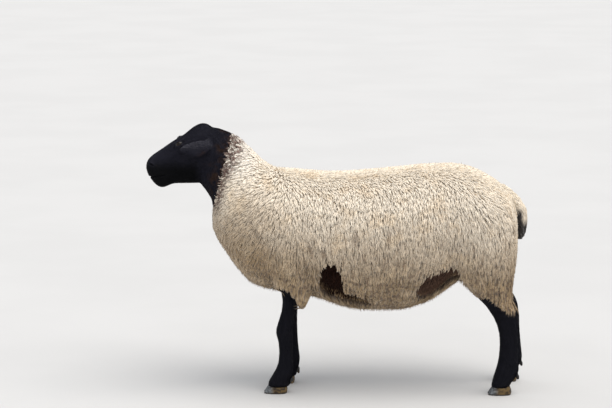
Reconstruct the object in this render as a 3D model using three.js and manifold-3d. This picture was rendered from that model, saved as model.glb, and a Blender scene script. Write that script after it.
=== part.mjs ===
// A Suffolk ewe, standing still, at life size.
// Millimetres, +Z up. The ewe faces -X, and its left side is towards -Y.
// Every piece is a row of closed sections joined into one skin. Sections come from short tables of
// stations, blended by a smooth curve, and local swells and hollows are laid on top of them.
import * as THREE from 'three';
import { mergeVertices } from 'three/addons/utils/BufferGeometryUtils.js';
import Module from 'manifold-3d';

const wasm = await Module();
wasm.setup();

// Gap left between two pieces that meet.
const GAP = 0.35;

// Head: the nose tip, how far the face is raised, and the eyes.
const NOSE = new THREE.Vector3(-531, 0, 757);
const FACE_PITCH = THREE.MathUtils.degToRad(18);
const EYE_RADIUS = 14.5;
const EYE = { along: 133, up: 40, out: 47.5 };

// Neck: a point on its axis behind the jaw, how steeply it drops, and the edge of the wool on it.
const NECK_HUB = new THREE.Vector3(-310, 0, 815);
const NECK_PITCH = THREE.MathUtils.degToRad(-52);
const WOOL_EDGE = { x: -247, z: 863, lean: THREE.MathUtils.degToRad(14.5) };

// Legs: half the stance width, and how far back the right feet stand behind the left ones.
const FORE_STANCE = 78;
const HIND_STANCE = 101;
const RIGHT_FORE_SETBACK = 24;
const RIGHT_HIND_SETBACK = 36;
const STAGGER_TOP = 420;

// Hooves: two claws on each foot, with a cleft between them.
const CLAW_WIDTH = 27;
const CLAW_LENGTH = 79;
const CLAW_HEIGHT = 34;
const CLEFT = 3;
const DEWCLAW_LENGTH = 17;
const DEWCLAW_WIDTH = 13;

const FINISHES = {
  wool: { color: 0xd9c9a8, roughness: 0.95, metalness: 0 },
  blackHair: { color: 0x17161b, roughness: 0.7, metalness: 0 },
  horn: { color: 0x8a7f6c, roughness: 0.5, metalness: 0 },
  eye: { color: 0x3a2812, roughness: 0.1, metalness: 0 },
};

// ---------------------------------------------------------------------------------------------
// Sections and skins
// ---------------------------------------------------------------------------------------------

function catmullRom(p0, p1, p2, p3, t) {
  const slopeIn = (p2 - p0) / 2;
  const slopeOut = (p3 - p1) / 2;
  const t2 = t * t;
  const t3 = t2 * t;
  return (2 * t3 - 3 * t2 + 1) * p1 + (t3 - 2 * t2 + t) * slopeIn
    + (3 * t2 - 2 * t3) * p2 + (t3 - t2) * slopeOut;
}

// Stations blended into `count` rows; the first and last stations are kept as they are.
function blend(stations, count) {
  const last = stations.length - 1;
  const at = (i) => stations[THREE.MathUtils.clamp(i, 0, last)];
  return Array.from({ length: count }, (_, k) => {
    const t = (k / (count - 1)) * last;
    const i = Math.min(last - 1, Math.floor(t));
    return at(i).map((value, c) => catmullRom(at(i - 1)[c], value, at(i + 1)[c], at(i + 2)[c], t - i));
  });
}

// A point of a squared-off oval: `power` 2 is an ellipse, and more is squarer.
function ovalPoint(angle, halfHeight, halfWidth, power) {
  const c = Math.cos(angle);
  const s = Math.sin(angle);
  return {
    up: Math.sign(c) * Math.abs(c) ** (2 / power) * halfHeight,
    out: Math.sign(s) * Math.abs(s) ** (2 / power) * halfWidth,
  };
}

function angles(sides) {
  return Array.from({ length: sides }, (_, k) => (k / sides) * Math.PI * 2);
}

// Closed skin over a row of rings with the same number of points, with its faces pointing out.
function skin(rings) {
  const sides = rings[0].length;
  const points = rings.flat();
  const mean = (ring) => ring.reduce((sum, p) => sum.add(p), new THREE.Vector3()).divideScalar(sides);
  const firstHub = points.push(mean(rings[0])) - 1;
  const lastHub = points.push(mean(rings[rings.length - 1])) - 1;
  const lastRing = (rings.length - 1) * sides;
  const faces = [];
  for (let k = 0; k < sides; k += 1) {
    const next = (k + 1) % sides;
    faces.push([firstHub, next, k], [lastHub, lastRing + k, lastRing + next]);
    for (let row = 0; row < lastRing; row += sides) {
      faces.push([row + k, row + next, row + sides + k]);
      faces.push([row + next, row + sides + next, row + sides + k]);
    }
  }
  const volume = faces.reduce((sum, [a, b, c]) => {
    const cross = new THREE.Vector3().crossVectors(points[b], points[c]);
    return sum + points[a].dot(cross);
  }, 0);
  if (volume < 0) faces.forEach((face) => face.reverse());
  const geometry = new THREE.BufferGeometry().setFromPoints(points);
  geometry.setIndex(faces.flat());
  return geometry;
}

// The same skin moved out along its normals, to cut a neighbour and leave a gap.
function swollen(geometry, distance) {
  const grown = geometry.clone();
  grown.computeVertexNormals();
  const position = grown.getAttribute('position');
  const normal = grown.getAttribute('normal');
  for (let i = 0; i < position.count; i += 1) {
    position.setXYZ(
      i,
      position.getX(i) + normal.getX(i) * distance,
      position.getY(i) + normal.getY(i) * distance,
      position.getZ(i) + normal.getZ(i) * distance,
    );
  }
  return grown;
}

function solid(geometry) {
  const bare = geometry.clone();
  bare.deleteAttribute('normal');
  bare.deleteAttribute('uv');
  const merged = mergeVertices(bare);
  return new wasm.Manifold(new wasm.Mesh({
    numProp: 3,
    vertProperties: new Float32Array(merged.getAttribute('position').array),
    triVerts: new Uint32Array(merged.getIndex().array),
  }));
}

const cutterFor = (geometry) => solid(swollen(geometry, GAP));

function geometryOf(body) {
  const mesh = body.getMesh();
  const geometry = new THREE.BufferGeometry();
  geometry.setAttribute('position', new THREE.BufferAttribute(new Float32Array(mesh.vertProperties), 3));
  geometry.setIndex(new THREE.BufferAttribute(new Uint32Array(mesh.triVerts), 1));
  return geometry;
}

const ewe = new THREE.Group();

function addPiece(name, body, finish) {
  const material = new THREE.MeshStandardMaterial(FINISHES[finish]);
  const mesh = new THREE.Mesh(geometryOf(body), material);
  mesh.name = name;
  ewe.add(mesh);
}

// Sum of smooth local swells (or hollows, where `rise` is negative) at a place on a side view.
function swellAt(swells, u, v) {
  return swells.reduce((sum, s) => {
    const du = (u - s.u) / s.ru;
    const dv = (v - s.v) / s.rv;
    return sum + s.rise * Math.exp(-du * du - dv * dv);
  }, 0);
}

// ---------------------------------------------------------------------------------------------
// Trunk: chest, barrel and rump in full wool
// ---------------------------------------------------------------------------------------------

const TRUNK_SIDES = 28;
const TRUNK_RINGS = 24;
const BACK_SQUARENESS = 2.5;
const BELLY_SQUARENESS = 2.1;

// x, top z, bottom z, half-width, height of the widest line
const TRUNK_STATIONS = [
  [-310, 610, 552, 34, 582],
  [-301, 645, 528, 72, 585],
  [-282, 682, 492, 106, 586],
  [-250, 716, 447, 138, 585],
  [-207, 742, 388, 162, 578],
  [-160, 752, 350, 176, 566],
  [-90, 750, 338, 189, 550],
  [-20, 744, 328, 199, 535],
  [50, 737, 312, 208, 522],
  [110, 735, 288, 216, 512],
  [180, 739, 273, 223, 508],
  [260, 747, 271, 227, 510],
  [330, 754, 275, 226, 516],
  [395, 760, 295, 221, 526],
  [450, 764, 322, 214, 540],
  [500, 763, 366, 207, 555],
  [548, 754, 394, 202, 568],
  [596, 733, 410, 195, 576],
  [638, 709, 428, 181, 577],
  [672, 676, 452, 155, 573],
  [694, 638, 484, 118, 566],
  [704, 606, 518, 72, 562],
];

const TRUNK_SWELLS = [
  { u: -75, v: 540, ru: 95, rv: 125, rise: 13 },
  { u: 605, v: 560, ru: 80, rv: 120, rise: 10 },
  { u: 500, v: 470, ru: 50, rv: 85, rise: -20 },
  { u: 62, v: 400, ru: 45, rv: 60, rise: -16 },
];

function trunkRing([x, top, bottom, halfWidth, widest]) {
  return angles(TRUNK_SIDES).map((angle) => {
    const upper = Math.cos(angle) > 0;
    const height = upper ? top - widest : widest - bottom;
    const power = upper ? BACK_SQUARENESS : BELLY_SQUARENESS;
    const { up, out } = ovalPoint(angle, height, halfWidth, power);
    const z = widest + up;
    const share = out / halfWidth;
    return new THREE.Vector3(x, out + share * swellAt(TRUNK_SWELLS, x, z), z);
  });
}

const trunkSkin = skin(blend(TRUNK_STATIONS, TRUNK_RINGS).map(trunkRing));
const trunkCutter = cutterFor(trunkSkin);

// ---------------------------------------------------------------------------------------------
// Head: a black, short-haired face, raised, with its mouth closed
// ---------------------------------------------------------------------------------------------

const HEAD_SIDES = 24;
const HEAD_RINGS = 27;

// distance from the nose, top, bottom, half-width, height of the widest line, squareness
const HEAD_STATIONS = [
  [-3, -6, -27, 12, -16, 2.2],
  [1, 5, -43, 24, -18, 2.3],
  [8, 15, -63, 30, -22, 2.35],
  [18, 23, -78, 34, -26, 2.35],
  [31, 29, -85, 36, -28, 2.35],
  [47, 34, -85, 37, -28, 2.3],
  [66, 39, -83, 39, -22, 2.3],
  [86, 45, -88, 44, -8, 2.3],
  [106, 50, -94, 51, 14, 2.4],
  [126, 54, -100, 57, 30, 2.6],
  [146, 58, -106, 59, 33, 2.6],
  [166, 66, -109, 58, 29, 2.4],
  [186, 74, -103, 57, 22, 2.2],
  [206, 79, -88, 55, 17, 2.2],
  [226, 78, -62, 49, 14, 2.1],
  [243, 66, -30, 37, 18, 2.0],
  [253, 44, 2, 16, 22, 2.0],
];

const HEAD_SWELLS = [
  { u: 132, v: 42, ru: 28, rv: 22, rise: 4 },
  { u: 108, v: 16, ru: 26, rv: 13, rise: 3 },
  { u: 165, v: 4, ru: 26, rv: 22, rise: 4 },
  { u: 158, v: -56, ru: 34, rv: 30, rise: 7 },
  { u: 86, v: 30, ru: 24, rv: 16, rise: -3 },
  { u: 78, v: -30, ru: 26, rv: 22, rise: -3 },
  { u: 20, v: 6, ru: 12, rv: 11, rise: 3 },
  { u: 26, v: -28, ru: 18, rv: 9, rise: 2 },
];

// Brow ridges over the eyes: the same kind of swell, pushed up, at a place on a top view.
const BROW_SWELLS = [
  { u: 133, v: 52, ru: 22, rv: 14, rise: 4 },
];

// From distances along, up and out of the head to a place in the animal's frame.
function headPoint(along, up, out) {
  return new THREE.Vector3(
    NOSE.x + along * Math.cos(FACE_PITCH) - up * Math.sin(FACE_PITCH),
    out,
    NOSE.z + along * Math.sin(FACE_PITCH) + up * Math.cos(FACE_PITCH),
  );
}

function headRing([along, top, bottom, halfWidth, widest, power]) {
  return angles(HEAD_SIDES).map((angle) => {
    const height = Math.cos(angle) > 0 ? top - widest : widest - bottom;
    const { up, out } = ovalPoint(angle, height, halfWidth, power);
    const level = widest + up;
    const share = Math.abs(out) < 1 ? 0 : Math.sign(out) * Math.min(1, Math.abs(out) / 18);
    const lift = level > widest ? swellAt(BROW_SWELLS, along, Math.abs(out)) : 0;
    return headPoint(along, level + lift, out + share * swellAt(HEAD_SWELLS, along, level));
  });
}

const headSkin = skin(blend(HEAD_STATIONS, HEAD_RINGS).map(headRing));
const headCutter = cutterFor(headSkin);

function ball(radius, place, scale, turnY, around) {
  const geometry = new THREE.SphereGeometry(radius, around, Math.round(around * 0.6));
  geometry.scale(scale.x, scale.y, scale.z);
  geometry.rotateY(turnY);
  geometry.translate(place.x, place.y, place.z);
  return geometry;
}

const EYE_SIDES = 12;
const ROUND = new THREE.Vector3(1, 1, 1);
const MOUTH = { along: 22, up: -37, reach: 27, halfWidth: 60, halfHeight: 1.6 };
const NOSTRIL = { along: 15, up: 4, out: 34, length: 9, height: 3.5, depth: 8, slant: -0.75 };

const mouthSlit = ball(
  1,
  headPoint(MOUTH.along, MOUTH.up, 0),
  new THREE.Vector3(MOUTH.reach, MOUTH.halfWidth, MOUTH.halfHeight),
  -FACE_PITCH,
  12,
);

function buildHead() {
  let head = solid(headSkin).subtract(solid(mouthSlit));
  for (const side of [-1, 1]) {
    const eyePlace = headPoint(EYE.along, EYE.up, side * EYE.out);
    head = head.subtract(solid(ball(EYE_RADIUS + GAP, eyePlace, ROUND, 0, EYE_SIDES)));
    const nostrilPlace = headPoint(NOSTRIL.along, NOSTRIL.up, side * NOSTRIL.out);
    const nostrilScale = new THREE.Vector3(NOSTRIL.length, NOSTRIL.depth, NOSTRIL.height);
    head = head.subtract(solid(ball(1, nostrilPlace, nostrilScale, NOSTRIL.slant - FACE_PITCH, 8)));
  }
  return head;
}

// ---------------------------------------------------------------------------------------------
// Ears: long leaves hung beside the cheeks, tips forward, cupped towards the head
// ---------------------------------------------------------------------------------------------

const EAR_RINGS = 9;
const EAR_SIDES = 10;
const EAR_THICKNESS = 7;

// along, up and out of the head; half-width of the leaf; how far its edges curl in; tilt of the leaf
const EAR_STATIONS = [
  [238, 12, 40, 12, 2, 0.2],
  [229, 10, 60, 16, 5, 0.25],
  [212, 8, 80, 23, 9, 0.3],
  [192, 8, 93, 28, 10, 0.3],
  [172, 12, 102, 28, 9, 0.25],
  [153, 18, 107, 21, 6, 0.2],
  [138, 24, 108, 10, 3, 0.15],
  [133, 26, 107, 3, 1, 0.1],
];

function earSkin(side) {
  const rows = blend(EAR_STATIONS, EAR_RINGS);
  const rings = rows.map(([along, up, out, halfWidth, curl, tilt], row) => {
    const fleshy = row < 2 ? 9 - 3 * row : EAR_THICKNESS / 2;
    const thickness = Math.min(fleshy, halfWidth * 0.6);
    return angles(EAR_SIDES).map((angle) => {
      const across = Math.cos(angle);
      const cup = curl * across * across;
      const outward = Math.sin(angle) * thickness * Math.sqrt(1.05 - across * across) - cup;
      const level = up + across * halfWidth * Math.cos(tilt) - outward * Math.sin(tilt);
      const reach = out + across * halfWidth * Math.sin(-tilt) + outward * Math.cos(tilt);
      return headPoint(along, level, side * reach);
    });
  });
  return skin(rings);
}

// ---------------------------------------------------------------------------------------------
// Neck: rises from the chest to the back of the head, wool below and black hair above
// ---------------------------------------------------------------------------------------------

const NECK_SIDES = 20;
const NECK_RINGS = 9;
const NECK_SQUARENESS = 2.15;

// distance down the neck from its hub, nape side, throat side, half-width
const NECK_STATIONS = [
  [-68, 34, -20, 24],
  [-45, 56, -60, 42],
  [-15, 75, -88, 54],
  [13, 92, -99, 60],
  [45, 99, -103, 66],
  [80, 102, -103, 78],
  [112, 106, -104, 94],
  [140, 110, -110, 114],
  [168, 121, -130, 134],
  [205, 138, -150, 146],
];

function neckRing([down, nape, throat, halfWidth]) {
  const centre = (nape + throat) / 2;
  const halfHeight = (nape - throat) / 2;
  return angles(NECK_SIDES).map((angle) => {
    const { up, out } = ovalPoint(angle, halfHeight, halfWidth, NECK_SQUARENESS);
    const level = centre + up;
    return new THREE.Vector3(
      NECK_HUB.x + down * Math.cos(NECK_PITCH) - level * Math.sin(NECK_PITCH),
      out,
      NECK_HUB.z + down * Math.sin(NECK_PITCH) + level * Math.cos(NECK_PITCH),
    );
  });
}

const neckSkin = skin(blend(NECK_STATIONS, NECK_RINGS).map(neckRing));
const neckCutter = cutterFor(neckSkin);

// A block that fills all the space in front of the wool's edge, moved back by `shift`.
function blockAheadOfWool(shift) {
  const size = 600;
  const block = new THREE.BoxGeometry(size, size, size);
  block.translate(-size / 2 + shift, 0, 0);
  block.rotateY(WOOL_EDGE.lean);
  block.translate(WOOL_EDGE.x, 0, WOOL_EDGE.z);
  return solid(block);
}

// ---------------------------------------------------------------------------------------------
// Legs: woolled upper legs, black lower legs, two claws and two dewclaws on each foot
// ---------------------------------------------------------------------------------------------

const UPPER_SIDES = 13;
const LOWER_SIDES = 12;
const LEG_SQUARENESS = 2.2;

// z, front x, rear x, half-width, distance from the middle plane to the section's centre
const FORE_UPPER = [
  [610, -140, 40, 50, 100],
  [520, -150, 58, 70, 112],
  [455, -142, 60, 78, 112],
  [410, -128, 53, 70, 104],
  [378, -114, 41, 60, 102],
  [358, -98, 31, 52, 100],
  [344, -66, 23, 44, 104],
  [326, -42, 13, 33, 111],
  [308, -27, 2, 20, 117],
  [295, -19, -7, 8, 119],
];
const FORE_LOWER = [
  [400, -92, -26, 34, 88],
  [352, -82, -34, 30, 86],
  [317, -77, -32, 28, 84],
  [286, -79, -32, 27, 82],
  [250, -89, -36, 27, 80],
  [225, -97, -38, 29, 79],
  [208, -100, -39, 30, 78],
  [190, -96, -40, 28, 78],
  [165, -89, -40, 24, 78],
  [125, -89, -40, 24, 78],
  [102, -92, -38, 26, 78],
  [80, -100, -37, 29, 78],
  [58, -113, -42, 30, 78],
  [40, -124, -47, 30, 78],
  [22, -128, -54, 29, 78],
];
const HIND_UPPER = [
  [650, 490, 680, 66, 108],
  [580, 474, 702, 88, 112],
  [510, 474, 704, 92, 114],
  [450, 482, 700, 87, 112],
  [400, 492, 694, 77, 109],
  [368, 533, 689, 67, 107],
  [338, 563, 687, 58, 105],
  [312, 590, 687, 50, 104],
  [290, 610, 684, 42, 104],
  [276, 632, 680, 26, 104],
];
const HIND_LOWER = [
  [350, 566, 684, 45, 103],
  [318, 587, 690, 43, 103],
  [297, 603, 704, 41, 103],
  [278, 615, 711, 37, 103],
  [255, 630, 714, 33, 102],
  [222, 642, 714, 30, 102],
  [190, 647, 713, 28, 101],
  [150, 647, 713, 27, 101],
  [115, 643, 714, 28, 101],
  [88, 636, 715, 31, 101],
  [66, 629, 711, 31, 101],
  [46, 624, 694, 31, 101],
  [25, 619, 682, 29, 101],
];

function legRing([z, front, rear, halfWidth, out], sides, side, setback) {
  const shift = setback * THREE.MathUtils.clamp((STAGGER_TOP - z) / STAGGER_TOP, 0, 1);
  return angles(sides).map((angle) => {
    const oval = ovalPoint(angle, (rear - front) / 2, halfWidth, LEG_SQUARENESS);
    return new THREE.Vector3((front + rear) / 2 + oval.up + shift, side * (out + oval.out), z);
  });
}

function legSkin(stations, rings, sides, side, setback) {
  return skin(blend(stations, rings).map((row) => legRing(row, sides, side, setback)));
}

const CLAW_SIDES = 10;

// height, how far the toe and the heel draw in, share of the full width
const CLAW_STATIONS = [
  [0, 2, 5, 0.92],
  [2.5, 0, 2, 1],
  [12, 6, 0, 1],
  [22, 13, 2, 0.95],
  [CLAW_HEIGHT, 21, 8, 0.82],
];

// One claw: flat towards the cleft, round on the outside, and pointed at the toe.
function clawSkin(toeX, centreY, outward) {
  const rings = CLAW_STATIONS.map(([z, toeIn, heelIn, share]) => {
    const front = toeX + toeIn;
    const rear = toeX + CLAW_LENGTH - heelIn;
    return angles(CLAW_SIDES).map((angle) => {
      const towardHeel = -Math.cos(angle);
      const wall = Math.sin(angle);
      const bow = wall > 0 ? 0.62 : 0.38;
      const pinch = 1 - 0.28 * Math.max(0, -towardHeel) ** 1.5;
      const x = (front + rear) / 2 + (towardHeel * (rear - front)) / 2;
      const y = Math.sign(wall) * Math.abs(wall) ** 0.8 * CLAW_WIDTH * share * bow * pinch;
      return new THREE.Vector3(x, centreY + outward * (y - CLAW_WIDTH * 0.12), z);
    });
  });
  return skin(rings);
}

const DEWCLAW_SIDES = 6;

// A blunt cone that hangs behind the fetlock and points down and out.
function dewclawSkin(x, y, z, outward) {
  const stations = [[-0.3, 0.8], [0.5, 0.95], [1, 0.4]];
  const rings = stations.map(([share, width]) => angles(DEWCLAW_SIDES).map((angle) => new THREE.Vector3(
    x + share * 7 + (Math.cos(angle) * DEWCLAW_WIDTH * width) / 2,
    y + outward * share * 3 + (Math.sin(angle) * DEWCLAW_WIDTH * width) / 2,
    z - share * DEWCLAW_LENGTH + Math.cos(angle) * 2,
  )));
  return skin(rings);
}

function addLeg(name, side, leg) {
  const upper = legSkin(leg.upper, leg.upperRings, UPPER_SIDES, side, leg.setback);
  const lower = legSkin(leg.lower, leg.lowerRings, LOWER_SIDES, side, leg.setback);
  const lowerCutter = cutterFor(lower);
  addPiece(`${name}_upper`, solid(upper).subtract(trunkCutter), 'wool');
  addPiece(`${name}_lower`, solid(lower).subtract(cutterFor(upper)).subtract(trunkCutter), 'blackHair');
  const footShift = leg.setback * (1 - leg.dewclaw.z / STAGGER_TOP);
  for (const [place, outward] of [['inner', -1], ['outer', 1]]) {
    const clawY = leg.stance + (outward * (CLAW_WIDTH + CLEFT)) / 2;
    const claw = clawSkin(leg.toeX + leg.setback, side * clawY, side * outward);
    addPiece(`${name}_claw_${place}`, solid(claw).subtract(lowerCutter), 'horn');
    const dewclawY = side * (leg.stance + outward * DEWCLAW_WIDTH * 0.95);
    const dewclaw = dewclawSkin(leg.dewclaw.x + footShift, dewclawY, leg.dewclaw.z, side * outward);
    addPiece(`${name}_dewclaw_${place}`, solid(dewclaw).subtract(lowerCutter), 'horn');
  }
}

// ---------------------------------------------------------------------------------------------
// Tail: a docked, woolly tail, about 150 mm long, lying down the rump
// ---------------------------------------------------------------------------------------------

const TAIL_SIDES = 10;
const TAIL_RINGS = 8;

// x, z, half-thickness, half-width, lean of the section
const TAIL_STATIONS = [
  [650, 680, 22, 32, -0.6],
  [674, 656, 26, 36, -0.7],
  [697, 634, 27, 37, -0.9],
  [719, 604, 23, 36, -1.25],
  [725, 575, 19, 33, -1.55],
  [725, 545, 15, 28, -1.65],
  [722, 523, 11, 20, -1.7],
  [720, 511, 5, 8, -1.7],
];

function tailRing([x, z, halfThickness, halfWidth, lean]) {
  return angles(TAIL_SIDES).map((angle) => {
    const { up, out } = ovalPoint(angle, halfThickness, halfWidth, 2);
    return new THREE.Vector3(x - up * Math.sin(lean), out, z + up * Math.cos(lean));
  });
}

const tailSkin = skin(blend(TAIL_STATIONS, TAIL_RINGS).map(tailRing));

// ---------------------------------------------------------------------------------------------
// Assembly
// ---------------------------------------------------------------------------------------------

addPiece('trunk', solid(trunkSkin), 'wool');
const neck = solid(neckSkin).subtract(trunkCutter).subtract(headCutter);
addPiece('neck', neck.subtract(blockAheadOfWool(GAP / 2)), 'wool');
addPiece('throat', neck.intersect(blockAheadOfWool(-GAP / 2)), 'blackHair');
addPiece('head', buildHead(), 'blackHair');
addPiece('tail', solid(tailSkin).subtract(trunkCutter), 'wool');

for (const [name, side] of [['left', -1], ['right', 1]]) {
  const ear = solid(earSkin(side)).subtract(headCutter).subtract(neckCutter);
  addPiece(`ear_${name}`, ear, 'blackHair');
  const eyeball = ball(EYE_RADIUS, headPoint(EYE.along, EYE.up, side * EYE.out), ROUND, 0, EYE_SIDES);
  addPiece(`eye_${name}`, solid(eyeball), 'eye');
  addLeg(`foreleg_${name}`, side, {
    upper: FORE_UPPER,
    upperRings: 10,
    lower: FORE_LOWER,
    lowerRings: 14,
    stance: FORE_STANCE,
    setback: side > 0 ? RIGHT_FORE_SETBACK : 0,
    toeX: -139,
    dewclaw: { x: -50, z: 52 },
  });
  addLeg(`hindleg_${name}`, side, {
    upper: HIND_UPPER,
    upperRings: 10,
    lower: HIND_LOWER,
    lowerRings: 14,
    stance: HIND_STANCE,
    setback: side > 0 ? RIGHT_HIND_SETBACK : 0,
    toeX: 610,
    dewclaw: { x: 704, z: 72 },
  });
}

// The origin goes on the floor, under the middle of the whole animal.
const extent = new THREE.Box3().setFromObject(ewe);
const middle = extent.getCenter(new THREE.Vector3());
ewe.position.set(-middle.x, -middle.y, -extent.min.z);
ewe.updateMatrixWorld(true);

export default ewe;
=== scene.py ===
# A Suffolk ewe, standing still, at life size: its skin, fleece, black hair, eyes and hooves.
# Metres, +Z up. The ewe faces -X, and its left side is towards -Y.
import math

import bmesh
import bpy
import numpy as np
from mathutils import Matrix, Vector, kdtree
from mathutils.bvhtree import BVHTree


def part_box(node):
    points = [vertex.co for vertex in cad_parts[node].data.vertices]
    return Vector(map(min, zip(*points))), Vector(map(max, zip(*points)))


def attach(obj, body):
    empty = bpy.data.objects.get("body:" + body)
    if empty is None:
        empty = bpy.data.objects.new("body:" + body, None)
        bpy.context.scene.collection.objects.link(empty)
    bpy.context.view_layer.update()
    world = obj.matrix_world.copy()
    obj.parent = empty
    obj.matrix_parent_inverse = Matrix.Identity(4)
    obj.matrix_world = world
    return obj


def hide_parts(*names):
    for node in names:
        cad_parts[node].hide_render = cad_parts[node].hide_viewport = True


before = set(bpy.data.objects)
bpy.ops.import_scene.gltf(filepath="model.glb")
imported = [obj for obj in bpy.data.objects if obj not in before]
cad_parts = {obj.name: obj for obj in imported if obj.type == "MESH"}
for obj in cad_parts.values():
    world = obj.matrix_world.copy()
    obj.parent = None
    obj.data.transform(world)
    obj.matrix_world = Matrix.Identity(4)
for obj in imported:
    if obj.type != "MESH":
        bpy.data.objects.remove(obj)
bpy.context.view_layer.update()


# ------------------------------------------------------------
# Camera: a long lens at the eye height of a person standing at the ewe's left side. It looks a
# little down, at a point on the middle plane of the body, ahead of the middle of the barrel.
# ------------------------------------------------------------

AIM = Vector((-0.104, 0.0, 0.6285))
CAMERA_DISTANCE = 8.0
CAMERA_ELEVATION = math.radians(9)
FIELD_WIDTH = 2.0502
SENSOR_WIDTH = 36.0

lens = bpy.data.cameras.new("camera")
lens.sensor_width = SENSOR_WIDTH
lens.lens = SENSOR_WIDTH * CAMERA_DISTANCE / FIELD_WIDTH
camera = bpy.data.objects.new("camera", lens)
bpy.context.scene.collection.objects.link(camera)
towards_camera = Vector((0, -math.cos(CAMERA_ELEVATION), math.sin(CAMERA_ELEVATION)))
camera.location = AIM + towards_camera * CAMERA_DISTANCE
camera.rotation_euler = towards_camera.to_track_quat("Z", "Y").to_euler()
bpy.context.scene.camera = camera


# ------------------------------------------------------------
# Studio: a pale matt floor, soft light from above as under a wide bright ceiling, a weak panel
# beside the camera, and a pale room that fills the shadows.
# ------------------------------------------------------------

FLOOR_SIZE = 40.0
FLOOR_COLOUR = (0.56, 0.55, 0.535, 1)
FLOOR_SHADE = 0.97
FLOOR_GRAIN = 1.3
ROOM_COLOUR = (0.86, 0.89, 0.94, 1)
ROOM_STRENGTH = 1.0
CEILING_STRENGTH = 2.3
CEILING_PLACE = (1.4, -1.0, 4.0)
CEILING_COLOUR = (1.0, 0.97, 0.93)
CEILING_SPREAD = math.radians(50)
PANEL_POWER = 20
PANEL_PLACE = (1.0, -5.5, 2.4)
PANEL_COLOUR = (1.0, 0.98, 0.95)
PANEL_SIZE = 1.3
EWE_MIDDLE = Vector((0, 0, 0.5))


class Wire:
    """One socket of a material's nodes. Arithmetic on it adds Math nodes to the material."""

    def __init__(self, tree, socket=None):
        self.tree = tree
        self.socket = socket

    def node(self, kind, sockets, output=0, stops=(), **settings):
        """Adds a node of any kind: first its settings and a ramp's stops, then its sockets."""
        made = self.tree.nodes.new(kind)
        for setting, value in settings.items():
            setattr(made, setting, value)
        for index, (place, colour) in enumerate(stops):
            ramp = made.color_ramp.elements
            stop = ramp[index] if index < len(ramp) else ramp.new(place)
            stop.position = place
            stop.color = colour
        for name, value in sockets.items():
            if isinstance(value, Wire):
                self.tree.links.new(value.socket, made.inputs[name])
            else:
                made.inputs[name].default_value = value
        return Wire(self.tree, made.outputs[output])

    def maths(self, operation, first, second=0.0):
        return self.node("ShaderNodeMath", {0: first, 1: second}, operation=operation)

    def __add__(self, other):
        return self.maths("ADD", self, other)

    def __sub__(self, other):
        return self.maths("SUBTRACT", self, other)

    def __rsub__(self, other):
        return self.maths("SUBTRACT", other, self)

    def __mul__(self, other):
        return self.maths("MULTIPLY", self, other)

    def __truediv__(self, other):
        return self.maths("DIVIDE", self, other)

    def __pow__(self, other):
        return self.maths("POWER", self, other)

    __radd__ = __add__
    __rmul__ = __mul__

    def between(self, low, high):
        """0 where this value is `low`, 1 where it is `high`, held at both ends and eased."""
        sockets = {"Value": self, "From Min": low, "From Max": high}
        return self.node("ShaderNodeMapRange", sockets, interpolation_type="SMOOTHSTEP")

    def mix(self, colour, other):
        """`colour` where this value is 0, and `other` where it is 1."""
        sockets = {0: self, 6: colour, 7: other}
        return self.node("ShaderNodeMix", sockets, output=2, data_type="RGBA")

    def attribute(self, name):
        return self.node("ShaderNodeAttribute", {}, output=2, attribute_name=name)

    def here(self):
        """The place on the ewe that is being shaded, in metres."""
        return self.node("ShaderNodeTexCoord", {}, output=3)

    def part(self, axis):
        """One coordinate of this place: 0 for x, 1 for y and 2 for z."""
        return self.node("ShaderNodeSeparateXYZ", {0: self}, output=axis)

    def noise(self, scale, detail=3.0, roughness=0.55):
        """Noise at this place."""
        sockets = {"Vector": self, "Scale": scale, "Detail": detail, "Roughness": roughness}
        return self.node("ShaderNodeTexNoise", sockets)

    def stretched(self, factors):
        """This place with its axes scaled, so that a texture on it is drawn out or squeezed."""
        return self.node("ShaderNodeVectorMath", {0: self, 1: factors}, operation="MULTIPLY")

    def slanted(self, angle):
        """This place turned about the Y axis, so that a stretched texture on it slants."""
        sockets = {"Vector": self, "Angle": angle}
        return self.node("ShaderNodeVectorRotate", sockets, rotation_type="Y_AXIS")

    def bump(self, strength, distance):
        """Normals for a surface that rises where this value is high."""
        sockets = {"Strength": strength, "Distance": distance, "Height": self}
        return self.node("ShaderNodeBump", sockets)


def new_material(name, **constants):
    """A material with one Principled shader that has these constants, and a wire to build from."""
    made = bpy.data.materials.new(name)
    made.use_nodes = True
    shader = made.node_tree.nodes["Principled BSDF"]
    for socket, value in constants.items():
        shader.inputs[socket.replace("_", " ")].default_value = value
    return made, Wire(made.node_tree)


def feed(made, **sockets):
    """Links wires to sockets of the material's Principled shader."""
    shader = made.node_tree.nodes["Principled BSDF"]
    for socket, wire in sockets.items():
        made.node_tree.links.new(wire.socket, shader.inputs[socket.replace("_", " ")])


floor_material, wire = new_material("floor", Roughness=0.9)
mottle = wire.here().noise(FLOOR_GRAIN).between(0.35, 0.65)
darker = tuple(part * FLOOR_SHADE for part in FLOOR_COLOUR[:3]) + (1,)
feed(floor_material, Base_Color=mottle.mix(FLOOR_COLOUR, darker))

half = FLOOR_SIZE / 2
floor_mesh = bpy.data.meshes.new("floor")
floor_corners = [(-half, -half, 0), (half, -half, 0), (half, half, 0), (-half, half, 0)]
floor_mesh.from_pydata(floor_corners, [], [(0, 1, 2, 3)])
floor_mesh.materials.append(floor_material)
floor = bpy.data.objects.new("floor", floor_mesh)
bpy.context.scene.collection.objects.link(floor)

room = bpy.data.worlds.new("room")
room.use_nodes = True
room.node_tree.nodes["Background"].inputs["Color"].default_value = ROOM_COLOUR
room.node_tree.nodes["Background"].inputs["Strength"].default_value = ROOM_STRENGTH
bpy.context.scene.world = room
bpy.context.scene.view_settings.view_transform = "Standard"


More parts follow.
